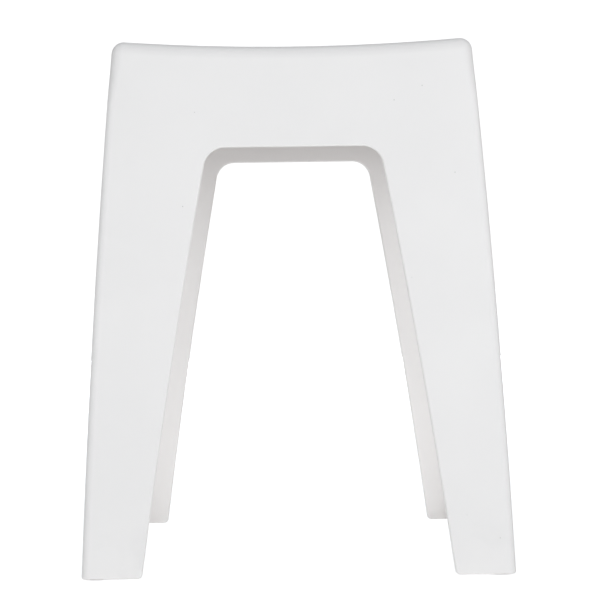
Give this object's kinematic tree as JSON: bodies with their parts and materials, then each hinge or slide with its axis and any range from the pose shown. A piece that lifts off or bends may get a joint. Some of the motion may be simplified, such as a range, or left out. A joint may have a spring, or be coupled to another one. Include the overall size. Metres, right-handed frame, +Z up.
{
  "type": "shower stool",
  "caption": "Backless one-piece moulded plastic stool with a gently dished seat, splayed legs and arches on all sides, standing on rubber feet.",
  "frame": {"origin": "on the floor, at the middle of the footprint, level with the rubber soles", "axes": "+Z up, +X to the right seen from the front, -Y towards the front, +Y to the rear"},
  "size_m": [0.3858, 0.3296, 0.4803],
  "materials": {
    "shell_plastic": "fine matte white moulding",
    "foot_rubber": "matte light grey"
  },
  "bodies": {
    "root": {"seat_shell": "shell_plastic", "foot_front_left": "foot_rubber", "foot_front_right": "foot_rubber", "foot_rear_left": "foot_rubber", "foot_rear_right": "foot_rubber"}
  },
  "joints": []
}
